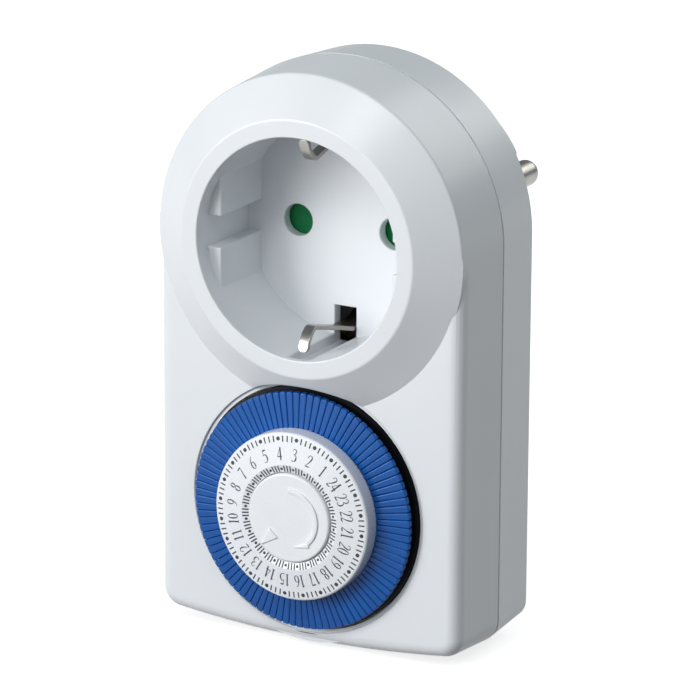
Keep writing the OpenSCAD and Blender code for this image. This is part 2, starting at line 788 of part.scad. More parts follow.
module segment_carrier() color("#17181b") upright() {
    difference() {
        union() {
            rod(carrier_r, disc_back, disc_top, dial, $fn = 144);
            rod(guide_r, guide_back, disc_back + slice, dial, $fn = 144);
            rod(post_r + run + hub_wall, gear_back, number_face - 1.5, dial);
            gear(dial_teeth, dir1, gear_back, gear_top, dial);
        }
        rod(post_r + run, gear_back - 1, number_face + 1, dial);
        // Hollow between the hub and the ring of guides
        difference() {
            rod(stem_in - 1, guide_back - 1, disc_back, dial, $fn = 96);
            rod(post_r + run + hub_wall, guide_back - 2, disc_back + 1, dial);
        }
        // One guide for each segment's stem
        translate([dial.x, dial.y, guide_back - 1]) linear_extrude(disc_top - guide_back + 2)
            for (k = [0 : segment_count - 1]) rotate(hour4_dir + pitch_deg * k)
                translate([stem_in - stem_gap, -stem_t / 2 - stem_gap])
                    square([stem_out - stem_in + 2 * stem_gap, stem_t + 2 * stem_gap]);
    }
}

module number_ring() color("#f4f5f7") upright() translate([dial.x, dial.y, 0])
    rotate_extrude($fn = 144) {
        hub = post_r + run + hub_wall + seat;
        well = cap_r + 0.15;
        rim_face = number_face - number_fall;
        well_floor = cap_top - cap_t - 0.2;
        polygon([
            [hub, well_floor], [well, well_floor], [well, number_face],
            [number_r - number_edge, rim_face], [number_r, rim_face - number_edge],
            [number_r, disc_top], [number_r - number_wall, disc_top],
            [number_r - number_wall, rim_face - number_wall],
            [well + number_wall, rim_face - number_wall],
            [well + number_wall, well_floor - number_wall], [hub, well_floor - number_wall]]);
    }

module centre_cap() color("#f1f2f4") upright() translate([dial.x, dial.y, 0]) {
    rotate_extrude() polygon([
        [0, cap_top - cap_t - cap_stem_len], [cap_stem_r, cap_top - cap_t - cap_stem_len],
        [cap_stem_r, cap_top - cap_t], [cap_r, cap_top - cap_t], [cap_r, cap_top - 0.45],
        [cap_r - 0.3, cap_top - 0.2], [0, cap_top - 0.2]]);
    // Raised pointer towards the inner scale
    translate([0, 0, cap_top - 0.3]) linear_extrude(0.3) rotate(228)
        polygon([[7.4, 0], [4.2, 1.25], [4.2, -1.25]]);
    // Raised arrow: the dial turns clockwise
    translate([0, 0, cap_top - 0.3]) linear_extrude(0.3) difference() {
        circle(5.3);
        circle(4.7);
        rotate(-35) translate([-12, -20]) square([12, 40]);
        rotate(90) translate([0, -20]) square([20, 40]);
    }
}

module dial_post() color("silver") upright() difference() {
    union() {
        rod(post_r, front_plate_top, cap_top - cap_t - 0.3, dial);
        rod(2, front_plate_back, front_plate_top + fuse, dial);
        rod(post_r + 1.2, front_plate_top, gear_back - 0.1, dial);
    }
    rod(cap_stem_r + seat, cap_top - cap_t - cap_stem_len - 0.4, cap_top, dial);
}

// ---- Movement ----

function plate_outline(top) = [
    [-plate_x, top], [plate_x, top], [plate_x, dial.y - 11.6], [19, dial.y - 11.6],
    [19, dial.y - 20.6], [-19, dial.y - 20.6], [-19, dial.y - 11.6], [-plate_x, dial.y - 11.6]];

module front_plate() color("#d8d6cf") upright() difference() {
    top = dial.y + 19;
    ear_low = lever_y - 3;
    union() {
        translate([0, 0, front_plate_back]) linear_extrude(plate_t) polygon(plate_outline(top));
        for (p = pillars) rod(pillar_r, rear_plate_top, front_plate_back + slice, p);
        // Ears that carry the switch lever's pin
        mirror_x() {
            bar(lever_half + 0.2, lever_half + 1.8, ear_low, lever_y + 1.6,
                front_plate_back, lever_z + 1.6);
            bar(lever_half + 0.2, lever_half + 4, top - 1, lever_y + 1.6,
                front_plate_back, front_plate_top);
        }
    }
    // Room for the lever
    bar(-lever_half - 0.2, lever_half + 0.2, nose_y - 2.4, top + 10,
        front_plate_back - 1, front_plate_top + 1);
    rod(2 + seat, front_plate_back - 1, front_plate_top + 1, dial);
    rod(sleeve_r + run, front_plate_back - 1, front_plate_top + 1, axis1);
    rod(arbor_r + seat, front_plate_back - 1, front_plate_top + 1, axis2, $fn = 48);
    for (p = post_spots) rod(small_screw_r + 0.15, front_plate_back - 1, front_plate_top + 1, p);
    for (p = pillars) rod(small_screw_r + seat, rear_plate_top - 1, rear_plate_top + 3.6, p);
    translate([0, lever_y, lever_z]) rotate([0, 90, 0])
        cylinder(r = lever_pin_r + seat, h = 20, center = true);
}

module rear_plate() color("#d8d6cf") upright() difference() {
    translate([0, 0, rear_plate_back]) linear_extrude(plate_t)
        polygon(plate_outline(dial.y + 13.4));
    rod(arbor_r + seat, rear_plate_back - 1, rear_plate_top + 1, axis1, $fn = 48);
    rod(arbor_r + seat, rear_plate_back - 1, rear_plate_top + 1, axis2, $fn = 48);
    rod(sleeve_r + run, rear_plate_back - 1, rear_plate_top + 1, axis3);
    for (p = pillars) rod(small_screw_r + 0.15, rear_plate_back - 1, rear_plate_top + 1, p);
    for (a = [60, 240]) rod(peg_r + seat, rear_plate_back - 1, rear_plate_top + 1,
        motor_mid + 9 * [cos(a), sin(a)]);
}

module plate_screws() color("silver") upright() {
    for (p = post_spots)
        screw(small_screw_r, small_head_r, small_head_h, front_plate_back, front_plate_top + 4.4, p);
    for (p = pillars)
        screw(small_screw_r, small_head_r, small_head_h, rear_plate_back, rear_plate_top + 3.4, p);
}

module gear_arbors() color("silver") upright() {
    rod(arbor_r, rear_plate_back, gear_top + 0.1, axis1, $fn = 48);
    rod(arbor_r, rear_plate_back, front_plate_top, axis2, $fn = 48);
}

// Room for each pinion's tooth gap to face the wheel that drives it
function gap_dir(dir) = dir + 180 + 180 / pinion_teeth;

module first_wheel() color("#e8e0c8") upright() difference() {
    union() {
        gear(pinion_teeth, gap_dir(dir1), gear_back - 0.1, gear_top + 0.1, axis1);
        rod(sleeve_r, rear_plate_top + 0.2, gear_back, axis1);
        gear(wheel1_teeth, dir2, wheel1_top - wheel_t, wheel1_top, axis1);
    }
    rod(arbor_r + run, rear_plate_top - 1, gear_top + 1, axis1, $fn = 48);
}

module second_wheel() color("#e8e0c8") upright() difference() {
    union() {
        gear(pinion_teeth, gap_dir(dir2), wheel1_top - wheel_t - 0.2, front_plate_back - 0.2, axis2);
        rod(sleeve_r, rear_plate_top + 0.2, wheel1_top - wheel_t, axis2);
        gear(wheel2_teeth, dir3, wheel2_top - wheel_t, wheel2_top, axis2);
    }
    rod(arbor_r + run, rear_plate_top - 1, front_plate_top, axis2, $fn = 48);
}

module motor_pinion() color("#c9a24a") upright() {
    gear(pinion_teeth, gap_dir(dir3), rear_plate_top + 0.2, wheel2_top + 0.2, axis3);
    rod(sleeve_r, motor_top - 2, rear_plate_top + 0.5, axis3);
    rod(4, motor_top - 2.2, motor_top - 0.8, axis3);
}

module motor_case() color("#a8acb0") upright() difference() {
    rod(motor_r, motor_back, motor_top, motor_mid);
    rod(motor_r - motor_wall, motor_back + motor_wall, motor_top + 1, motor_mid);
    rod(0.8 + seat, motor_back - 1, motor_top, motor_mid, $fn = 48);
    // Way out for the two leads
    for (s = [-1, 1]) translate([motor_mid.x + 2 * s, motor_mid.y + motor_r, motor_back + 2.6])
        rotate([90, 0, 0]) cylinder(r = 0.8, h = 4, center = true, $fn = 24);
}

module motor_cover() color("#a8acb0") upright() difference() {
    union() {
        rod(motor_r + 0.6, motor_top, rear_plate_back, motor_mid);
        for (a = [60, 240]) rod(peg_r, motor_top, rear_plate_back + 1.3,
            motor_mid + 9 * [cos(a), sin(a)]);
    }
    rod(sleeve_r + run, motor_top - 1, rear_plate_back + 1, axis3);
}

module motor_coil() color("#b5561f") upright() difference() {
    low = motor_back + motor_wall;
    rod(motor_r - motor_wall - 0.1, low, low + 3.6, motor_mid);
    rod(rotor_r + 1, low - 1, low + 5, motor_mid);
    // Winding space between the bobbin's two cheeks
    difference() {
        rod(motor_r, low + 0.6, low + 3, motor_mid);
        rod(motor_r - motor_wall - 1, low, low + 4, motor_mid);
    }
}

module motor_rotor() color("#3a3c40") upright() {
    low = motor_back + motor_wall;
    rod(rotor_r, low + 0.2, low + 3.4, motor_mid);
    rod(0.8 - 0.02, motor_back, low + 3.8, motor_mid, $fn = 48);
}

// An eight-sided tube along a route
function tube_ring(route, i, r) =
    let (n = len(route) - 1,
         t = unit(route[min(i + 1, n)] - route[max(i - 1, 0)]),
         u = unit(cross(t, abs(t.x) < 0.9 ? [1, 0, 0] : [0, 1, 0])),
         v = cross(t, u))
    [for (k = [0 : 7]) route[i] + r * (cos(45 * k) * u + sin(45 * k) * v)];

module tube(route, r) {
    n = len(route);
    polyhedron(
        [for (i = [0 : n - 1]) each tube_ring(route, i, r)],
        concat([[for (k = [0 : 7]) k]],
               [for (i = [0 : n - 2]) for (k = [0 : 7])
                   [8 * i + k, 8 * i + 8 + k, 8 * i + 8 + (k + 1) % 8, 8 * i + (k + 1) % 8]],
               [[for (k = [7 : -1 : 0]) 8 * (n - 1) + k]]));
}

module motor_leads() color("#222222") upright() {
    case_y = motor_mid.y + motor_r;
    lead_z = motor_back + 2.6;
    tail_z = jaw_mouth - brass_t / 2;
    tube([[motor_mid.x + 2, case_y - 0.8, lead_z], [motor_mid.x + 2, case_y + 1, lead_z],
          [13, -28, lead_z], [8, -20, lead_z], [8, -13, tail_z - 0.9],
          [8, -8, tail_z - 0.9], [8.4, -5.5, tail_z - 0.9]], 0.5);
    tube([[motor_mid.x - 2, case_y - 0.8, lead_z], [motor_mid.x - 2, case_y + 1.4, lead_z],
          [8, contact_y - 1.6, leg_back + 1.5], [5, contact_y - 1.4, leg_back + 1.5],
          [1, contact_y - 0.6, leg_back + 1.5]], 0.5);
}

module switch_lever() color("#f0e6c0") upright() difference() {
    nose_top = stem_end - nose_gap;
    union() {
        translate([0, lever_y, lever_z]) rotate([0, 90, 0])
            cylinder(r = lever_hub_r, h = 2 * lever_half, center = true);
        // Arm down to the nose that feels the pushed-in stems
        side_cut([[lever_z + 0.9, lever_y], [lever_z - 0.9, lever_y], [lever_z - 0.9, nose_y - 0.8],
                  [nose_top - 0.4, nose_y - 0.8], [nose_top, nose_y - 0.3], [nose_top, nose_y + 0.4],
                  [lever_z + 0.5, nose_y + 1.6]], nose_w);
        // Finger that pushes the contact blade
        side_cut([[lever_z - 0.5, contact_y + 1.8], [blade_top, contact_y + 1],
                  [blade_top, contact_y + 0.2], [lever_z - 0.5, contact_y - 0.4]], nose_w);
    }
    translate([0, lever_y, lever_z]) rotate([0, 90, 0])
        cylinder(r = lever_pin_r + run, h = 20, center = true);
}

module lever_pin() color("silver") upright() translate([0, lever_y, lever_z]) rotate([0, 90, 0])
    cylinder(r = lever_pin_r, h = 2 * (lever_half + 1.8), center = true);

front_shell();
rear_shell();
housing_screws();
socket_carrier();
carrier_screws();
shutter();
shutter_pivot();
shutter_spring();
live_jaw();
neutral_jaw();
live_pin();
neutral_pin();
live_strip();
moving_contact();
switch_lever();
lever_pin();
earth_strip_top();
earth_strip_bottom();
earth_bridge();
segment_carrier();
number_ring();
centre_cap();
dial_post();
front_plate();
plate_screws();
rear_plate();
gear_arbors();
first_wheel();
second_wheel();
motor_pinion();
motor_case();
motor_cover();
motor_coil();
motor_rotor();
motor_leads();
for (h = [1 : 24]) hour_segments(h);
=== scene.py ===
"""The looks of the plug-in timer switch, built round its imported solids.

Pieces are drawn as the part's source draws them, in millimetres looking at the front: x right,
y up and h out from the plug's face. stand() then turns each one upright, in metres.
"""

import json
import math

import bmesh
import bpy
from mathutils import Matrix, Vector


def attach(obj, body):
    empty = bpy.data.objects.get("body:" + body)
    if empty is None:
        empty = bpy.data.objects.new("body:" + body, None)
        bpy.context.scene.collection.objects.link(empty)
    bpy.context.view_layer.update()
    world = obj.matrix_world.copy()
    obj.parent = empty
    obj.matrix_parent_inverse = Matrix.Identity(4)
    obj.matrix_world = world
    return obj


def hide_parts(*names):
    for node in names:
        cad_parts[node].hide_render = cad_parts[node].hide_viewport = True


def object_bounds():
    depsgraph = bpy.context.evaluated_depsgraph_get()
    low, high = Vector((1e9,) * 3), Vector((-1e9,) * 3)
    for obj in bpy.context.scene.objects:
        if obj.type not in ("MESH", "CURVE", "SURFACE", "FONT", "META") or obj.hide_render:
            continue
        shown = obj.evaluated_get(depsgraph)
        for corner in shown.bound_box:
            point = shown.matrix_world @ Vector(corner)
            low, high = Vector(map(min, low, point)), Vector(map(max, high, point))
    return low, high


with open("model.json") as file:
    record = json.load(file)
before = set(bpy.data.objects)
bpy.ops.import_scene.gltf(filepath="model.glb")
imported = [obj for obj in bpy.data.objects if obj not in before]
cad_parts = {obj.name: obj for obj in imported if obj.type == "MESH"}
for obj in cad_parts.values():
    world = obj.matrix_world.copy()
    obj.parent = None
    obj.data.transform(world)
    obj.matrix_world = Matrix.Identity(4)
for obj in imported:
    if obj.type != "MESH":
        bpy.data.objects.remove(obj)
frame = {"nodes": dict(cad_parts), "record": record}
cad_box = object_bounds()
nodes = frame["nodes"]
scene = bpy.context.scene

MM = 0.001
UPRIGHT = Matrix(((MM, 0, 0, 0), (0, 0, -MM, 0), (0, MM, 0, 0), (0, 0, 0, 1)))
SLOT_OF = {s["node"]: s["material_slot"] for s in frame["record"]["subparts"]}
BODY_OF = {n: b for b, held in frame["record"]["behaviour"]["bodies"].items() for n in held}

# ---- Sizes of the housing in mm, as in the part's source ----

# Heights of its back, of the joint with the groove's width behind it, and of the flat front
BACK, JOINT, GAP_W, FLAT_FRONT = 19.0, 32.0, 0.35, 45.4
# The socket's recess: heights of its floor and lip, its radius, and how far its grooves go beyond
FLOOR, LIP, RECESS_R, GROOVE = 32.25, 49.85, 19.5, 1.6
# The edge between the head's cone and its side
HEAD_EDGE_R, HEAD_EDGE_H = 29.7, 45.1
# Half the width, then the bottom's radius, reach and corners
HALF_W, BOTTOM_R, BODY_DROP, CORNER_R = 30.5, 220.0, 72.5, 4.4
# The dial's centre and the radius of its recess
DIAL_Y, DIAL_RECESS_R = -47.2, 22.6
# In degrees: where the hour 4 stands on the dial, and the step from one segment to the next
HOUR4_DIR, PITCH = 100.4, 3.75


# ---- Materials ----

# The two ends of a blend stand at these values of the noise, and the gloss wanders this far
NOISE_LOW, NOISE_HIGH, GLOSS_SPREAD = 0.3, 0.7, 0.05
# Where a Mix node has its two colours and its result
MIX_A, MIX_B, MIX_RESULT = 6, 7, 2


def linear(code):
    """An sRGB colour such as #E6E8EE as linear RGBA."""
    rgb = [int(code[i:i + 2], 16) / 255 for i in (1, 3, 5)]
    return [c / 12.92 if c <= 0.04045 else ((c + 0.055) / 1.055) ** 2.4 for c in rgb] + [1.0]


def add(tree, kind, links=(), **settings):
    """Adds a node: settings name attributes or inputs, and links gives (input, socket) pairs."""
    node = tree.nodes.new("ShaderNode" + kind)
    for key, value in settings.items():
        if hasattr(node, key):
            setattr(node, key, value)
    for key, value in settings.items():
        if not hasattr(node, key):
            node.inputs[key.replace("_", " ")].default_value = value
    for key, socket in links:
        tree.links.new(socket, node.inputs[key])
    return node


def new_material(name):
    mat = bpy.data.materials.new(name)
    mat.use_nodes = True
    mat.node_tree.nodes.clear()
    return mat, mat.node_tree


def noise(tree, size_mm, detail, stretch=(1, 1, 1)):
    """Noise with features about size_mm across, longer along an axis whose stretch is above 1."""
    where = add(tree, "TexCoord").outputs["Object"]
    spread = add(tree, "Mapping", [("Vector", where)], Scale=[1 / s for s in stretch])
    return add(tree, "TexNoise", [("Vector", spread.outputs["Vector"])],
               Scale=1 / (size_mm * MM), Detail=detail).outputs["Fac"]


def surface(name, colour, tint, rough, patch_mm, grain_mm, depth_mm, metallic=0.0, ior=1.5,
            stretch=(1, 1, 1), **sockets):
    """A surface that wanders from colour to tint over patches, with a fine grain in its gloss."""
    mat, tree = new_material(name)
    patch = noise(tree, patch_mm, detail=2.0)
    grain = noise(tree, grain_mm, 4.0, stretch)
    blend = add(tree, "MapRange", [("Value", patch)], From_Min=NOISE_LOW, From_Max=NOISE_HIGH)
    mix = add(tree, "Mix", [("Factor", blend.outputs["Result"])], data_type="RGBA")
    mix.inputs[MIX_A].default_value = linear(colour)
    mix.inputs[MIX_B].default_value = linear(tint)
    gloss = add(tree, "MapRange", [("Value", grain)], From_Min=NOISE_LOW, From_Max=NOISE_HIGH,
                To_Min=rough - GLOSS_SPREAD, To_Max=rough + GLOSS_SPREAD)
    bump = add(tree, "Bump", [("Height", grain)], Distance=depth_mm * MM, Strength=1.0)
    shader = add(tree, "BsdfPrincipled", [("Base Color", mix.outputs[MIX_RESULT]),
                 ("Roughness", gloss.outputs["Result"]), ("Normal", bump.outputs["Normal"])],
                 Metallic=metallic, IOR=ior, **sockets)
    add(tree, "OutputMaterial", [("Surface", shader.outputs["BSDF"])])
    return mat


# The numbers are the roughness, then the patches' size, the grain's size and its depth in mm
FINISHES = {
    # Injection-moulded white ABS: satin with a soft gloss, slightly cool and very even
    "housing_white": surface("ABS moulded satin white", "#E2E5E9", "#E0E3E7", 0.34, 9, 0.35, 0.0015,
                             ior=1.54),
    # Moulded white ABS polished in the mould: glossier than the housing
    "dial_white": surface("ABS moulded polished white", "#E9EBF0", "#E6E8EE", 0.27, 6, 0.3, 0.001,
                          ior=1.54),
    # Moulded acetal, dyed blue right through: a waxy gloss
    "segment_blue": surface("acetal moulded blue", "#0053A2", "#004D99", 0.2, 4, 0.3, 0.0006,
                            ior=1.48, Specular_IOR_Level=0.3),
    # Moulded black acetal with a dull, slightly greasy look
    "carrier_black": surface("acetal moulded black", "#0D0E11", "#131418", 0.42, 2, 0.3, 0.002,
                             ior=1.48, Specular_IOR_Level=0.25),
    # Moulded polypropylene, deep green
    "shutter_green": surface("polypropylene moulded green", "#007A42", "#006C39", 0.42, 2, 0.3,
                             0.002, ior=1.49, Specular_IOR_Level=0.2),
    # Heat-proof moulded thermoset, cream and dull
    "insert_plastic": surface("urea moulded cream", "#D9D3C1", "#D0C9B5", 0.5, 3, 0.3, 0.003,
                              ior=1.55),
    # Natural acetal gears and lever, milky white
    "gear_plastic": surface("acetal natural", "#EDE8D8", "#E6E0CD", 0.4, 3, 0.3, 0.002, ior=1.48),
    # Nickel plate on rolled brass: a soft shine with faint lengthwise lines
    "nickel": surface("nickel plated brass", "#A9A7A1", "#9F9D97", 0.32, 3, 0.12, 0.0012,
                      metallic=1.0, stretch=(1, 8, 1)),
    # Rolled and stamped brass, slightly dulled
    "brass": surface("brass rolled", "#CFA552", "#C09544", 0.3, 3, 0.12, 0.0015, metallic=1.0,
                     stretch=(1, 1, 8)),
    # Zinc-plated steel, fine grey sheen
    "steel": surface("steel zinc plated", "#B4B6B8", "#A7A9AD", 0.32, 2, 0.2, 0.0015, metallic=1.0),
    # Pressed ferrite ring of the rotor: dark, matt and gritty
    "ferrite": surface("ferrite pressed", "#35363A", "#2C2D31", 0.62, 1.5, 0.2, 0.006),
    # Enamelled copper wire wound close: a warm sheen with fine turns across it
    "copper": surface("copper wire enamelled", "#B4623A", "#A2532E", 0.3, 1, 0.2, 0.004,
                      metallic=1.0, stretch=(8, 1, 8)),
    # Soft PVC lead insulation
    "lead_insulation": surface("PVC lead insulation", "#26272A", "#1E1F22", 0.5, 2, 0.3, 0.002,
                               ior=1.53),
}
# Printing ink, near black and dull
INK = surface("pad printing ink", "#1A1C20", "#26282D", 0.5, 0.5, 0.2, 0.001)
# The cap's white is a touch warmer and duller than the ring's
CAP_WHITE = surface("ABS moulded cap white", "#EAECEF", "#E6E8EC", 0.3, 6, 0.3, 0.001, ior=1.54)


# ---- Making pieces ----

# Corners this close in mm are one; the source's rounded edges have slices 0.01 thick to join too
SAME_CORNER, SLICE = 0.001, 0.013
# In radians: bends up to the first are flattened away, and bends over the second can be rounded
FLAT_BEND, SHARP_BEND = math.radians(0.5), 0.35
# Steps of a turned shape all round and of a rounded corner, and parts of a curve between points
TURN_STEPS, CORNER_STEPS, CURVE_STEPS = 144, 4, 3
# For turned shapes in mm: what lies on the axis, and what the turn's seam joins
ON_AXIS, SEAM = 1e-6, 1e-5


def mesh_of(name, bm):
    """A mesh with what was drawn in bm, which is freed."""
    mesh = bpy.data.meshes.new(name)
    bm.to_mesh(mesh)
    bm.free()
    return mesh


def join(into, bm):
    """Moves what was drawn in bm into another drawing."""
    mesh = mesh_of("part", bm)
    into.from_mesh(mesh)
    bpy.data.meshes.remove(mesh)


def copy_of(node):
    """A CAD node's mesh with its loose triangles joined, back in the drawing's millimetres."""
    bm = bmesh.new()
    bm.from_mesh(nodes[node].data)
    bmesh.ops.remove_doubles(bm, verts=bm.verts, dist=SAME_CORNER * MM)
    bmesh.ops.transform(bm, matrix=UPRIGHT.inverted(), verts=bm.verts)
    bmesh.ops.remove_doubles(bm, verts=bm.verts, dist=SLICE)
    bmesh.ops.dissolve_limit(bm, angle_limit=FLAT_BEND, verts=bm.verts, edges=bm.edges)
    return bm


def stand(name, bm, body, finish, replaced=(), angle=32, material=None, crease=None):
    """Turns a drawn mesh upright as a piece that rides on body.

    It is smooth but for edges over angle degrees and those that crease(edge) picks. Its normals
    are weighted by area, so a small rounding doesn't shade the flats beside it."""
    bm.normal_update()
    for e in bm.edges:
        e.smooth = (e.calc_face_angle(math.pi) < math.radians(angle)
                    and not (crease and crease(e)))
    for f in bm.faces:
        f.smooth = True
    bmesh.ops.transform(bm, matrix=UPRIGHT, verts=bm.verts)
    mesh = mesh_of(name, bm)
    # A CAD copy still carries the normals of its first shape
    if "custom_normal" in mesh.attributes:
        mesh.attributes.remove(mesh.attributes["custom_normal"])
    mesh.materials.append(material or FINISHES[finish])
    piece = bpy.data.objects.new(name, mesh)
    scene.collection.objects.link(piece)
    piece.modifiers.new("weighted_normals", "WEIGHTED_NORMAL").keep_sharp = True
    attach(piece, body)
    if replaced:
        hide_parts(*replaced)


def bevel(bm, edges, width, segments, clamp=False):
    bmesh.ops.bevel(bm, geom=edges, offset=width, offset_type="OFFSET", affect="EDGES",
                    segments=segments, profile=0.5, clamp_overlap=clamp, material=-1)


def middle(e):
    return (e.verts[0].co + e.verts[1].co) / 2


def round_edges(bm, width, chosen, segments=2):
    """Bevels the outward edges with a sharp bend whose middle passes chosen(point)."""
    edges = [e for e in bm.edges if len(e.link_faces) == 2
             and e.calc_face_angle_signed(0) > SHARP_BEND and chosen(middle(e))]
    bevel(bm, edges, width, segments)


def filleted(points):
    """A closed outline of (x, y, radius) corners as points, with each corner rounded."""
    out = []
    for i, (x, y, r) in enumerate(points):
        here = Vector((x, y))
        if not r:
            out.append(here)
            continue
        to_last = (Vector(points[i - 1][:2]) - here).normalized()
        to_next = (Vector(points[(i + 1) % len(points)][:2]) - here).normalized()
        half = to_last.angle(to_next) / 2
        mid = here + (to_last + to_next).normalized() * (r / math.sin(half))
        a, b = (here + to * (r / math.tan(half)) - mid for to in (to_last, to_next))
        turn = a.angle_signed(b)
        out += [mid + Matrix.Rotation(-turn * k / CORNER_STEPS, 2) @ a
                for k in range(CORNER_STEPS + 1)]
    return out


def spun(profile):
    """A shape turned round the dial's axis from a closed outline of (r, h, corner radius)."""
    bm = bmesh.new()
    verts = [bm.verts.new((p.x, 0, p.y)) for p in filleted(profile)]
    edges = [bm.edges.new((verts[i - 1], verts[i])) for i in range(len(verts))
             if max(verts[i - 1].co.x, verts[i].co.x) > ON_AXIS]
    bmesh.ops.spin(bm, geom=verts + edges, cent=(0, 0, 0), axis=(0, 0, 1), angle=2 * math.pi,
                   steps=TURN_STEPS, use_merge=True)
    bmesh.ops.remove_doubles(bm, verts=bm.verts, dist=SEAM)
    bmesh.ops.recalc_face_normals(bm, faces=bm.faces)
    bmesh.ops.translate(bm, vec=(0, DIAL_Y, 0), verts=bm.verts)
    return bm


def flat_shape(bm, points):
    return bm.faces.new([bm.verts.new((*p[:2], 0)) for p in points])


def thicken(bm, faces, height):
    """Raises flat faces into solids, height above where they lie, and gives their tops."""
    for f in faces:
        f.normal_update()
        if f.normal.z < 0:
            f.normal_flip()
    raised = bmesh.ops.extrude_face_region(bm, geom=faces)["geom"]
    verts = [v for v in raised if isinstance(v, bmesh.types.BMVert)]
    bmesh.ops.translate(bm, vec=(0, 0, height), verts=verts)
    bmesh.ops.recalc_face_normals(bm, faces=bm.faces)
    return [f for f in raised if isinstance(f, bmesh.types.BMFace)]


# ---- Housing ----

CORNER_X = HALF_W - 0.02 - CORNER_R
BOTTOM_MID = BOTTOM_R - BODY_DROP
CORNER_Y = BOTTOM_MID - math.sqrt((BOTTOM_R - CORNER_R) ** 2 - CORNER_X ** 2)
# How far forward the head's cone faces, and how far down its edge is free of the flanks
CONE_NORMAL_H, HEAD_EDGE_END = 0.831, 1


def near(a, b, within):
    return abs(a - b) < within


def on_outside(x, y):
    """Whether a point lies on the housing's outline at the joint."""
    if y > 0:
        return near(math.hypot(x, y), HALF_W, 0.2)
    corner = math.hypot(abs(x) - CORNER_X, y - CORNER_Y)
    return (near(abs(x), HALF_W, 0.2) or near(math.hypot(x, y - BOTTOM_MID), BOTTOM_R, 0.25)
            or (near(corner, CORNER_R, 0.2) and y < CORNER_Y))


def at_joint(p):
    return (near(p.z, JOINT, 0.02) or near(p.z, JOINT - GAP_W, 0.02)) and on_outside(p.x, p.y)


def on_lip(p):
    return near(p.z, LIP, 0.02)


def on_head_edge(p):
    return (near(p.z, HEAD_EDGE_H, 0.1) and near(math.hypot(p.x, p.y), HEAD_EDGE_R, 0.1)
            and p.y > HEAD_EDGE_END)


def on_dial_rim(p):
    return (near(math.hypot(p.x, p.y - DIAL_Y), DIAL_RECESS_R, 0.05)
            and p.z > FLAT_FRONT - 0.1)


def in_recess(p):
    return math.hypot(p.x, p.y) < RECESS_R + GROOVE and FLOOR - 0.05 < p.z < LIP - 0.1


def on_plug(p):
    return p.z < BACK + 0.1 and not near(p.z, BACK, 0.05)


def at_cone_foot(e):
    """Whether an edge is where the head's cone meets the flat front or a rounded flank."""
    mid = middle(e)
    cone = [near(f.normal.z, CONE_NORMAL_H, 0.012) for f in e.link_faces]
    return cone.count(True) == 1 and mid.z < FLAT_FRONT + 0.05 and mid.y < HEAD_EDGE_END


front = copy_of("front_shell")
round_edges(front, 0.12, at_joint)
round_edges(front, 0.26, on_lip, segments=8)
round_edges(front, 0.36, on_head_edge, segments=3)
round_edges(front, 0.3, on_dial_rim, segments=3)
round_edges(front, 0.3, in_recess, segments=4)
stand("front_housing", front, "housing", "housing_white", ["front_shell"], angle=25,
      crease=at_cone_foot)

rear = copy_of("rear_shell")
round_edges(rear, 0.12, at_joint)
round_edges(rear, 0.3, on_plug)
stand("rear_housing", rear, "housing", "housing_white", ["rear_shell"])


# ---- Earth clips ----

# How far a clip's hook reaches down from the lip, and the rounding of its tip and of its edges
HOOK_REACH, CLIP_TIP_ROUND, CLIP_ROUND = 5, 0.9, 0.12

for end in ("top", "bottom"):
    clip = copy_of("earth_strip_" + end)
    hook = [f for f in clip.faces if f.calc_center_median().z > LIP - HOOK_REACH]
    tip = max(hook, key=lambda f: abs(f.calc_center_median().y))
    corners = [e for e in tip.edges if near(e.verts[0].co.x, e.verts[1].co.x, 0.01)]
    bevel(clip, corners, CLIP_TIP_ROUND, segments=4, clamp=True)
    round_edges(clip, CLIP_ROUND, lambda p: True)
    stand("earth_clip_" + end, clip, "housing", "nickel", ["earth_strip_" + end])


# ---- Switching segments ----

# A segment's pad reaches from one radius to the other, and its top falls towards its tip
PAD_IN, PAD_OUT, PAD_BACK, PAD_TOP, PAD_FALL = 15.1, 21.3, 46.7, 48.1, 0.6
PAD_GAP, TIP_ROUND, TOP_ROUND = 0.03, 0.35, 0.24
# Its stem: radius where it stands, half its length and width, its foot, and how far it goes in
STEM_R, STEM_HALF_L, STEM_HALF_W, STEM_FOOT, STEM_SINK = 16.0, 0.8, 0.28, 41.6, 0.1
ALONG, UP = 0, 2


def direction(hour, quarter=0):
    """The angle in radians of an hour's mark on the dial, or of a quarter after it."""
    return math.radians(HOUR4_DIR + 4 * PITCH * (hour - 4) + PITCH * quarter)


def pad_width(r):
    return 2 * r * math.sin(math.radians(PITCH / 2)) - PAD_GAP


def upright(e):
    return not near(e.verts[0].co.z, e.verts[1].co.z, PAD_FALL + 0.1)


def pad():
    """One segment pointing along x: a tapered pad, rounded at its tip and top, on its stem."""
    bm = bmesh.new()
    bmesh.ops.create_cube(bm, size=1)
    for v in bm.verts:
        r, top = (PAD_OUT, PAD_TOP - PAD_FALL) if v.co.x > 0 else (PAD_IN, PAD_TOP)
        v.co = Vector((r, math.copysign(pad_width(r) / 2, v.co.y), top if v.co.z > 0 else PAD_BACK))
    for axis, width in ((ALONG, TIP_ROUND), (UP, TOP_ROUND)):
        bm.normal_update()
        face = next(f for f in bm.faces if f.normal[axis] > 0.9)
        edges = [e for e in face.edges if upright(e) == (axis == ALONG)
                 and max(v.co.x for v in e.verts) > PAD_IN + 0.1]
        bevel(bm, edges, width, segments=3)
    for v in bmesh.ops.create_cube(bm, size=1)["verts"]:
        v.co = Vector((STEM_R + math.copysign(STEM_HALF_L, v.co.x),
                       math.copysign(STEM_HALF_W, v.co.y),
                       PAD_BACK + STEM_SINK if v.co.z > 0 else STEM_FOOT))
    return bm


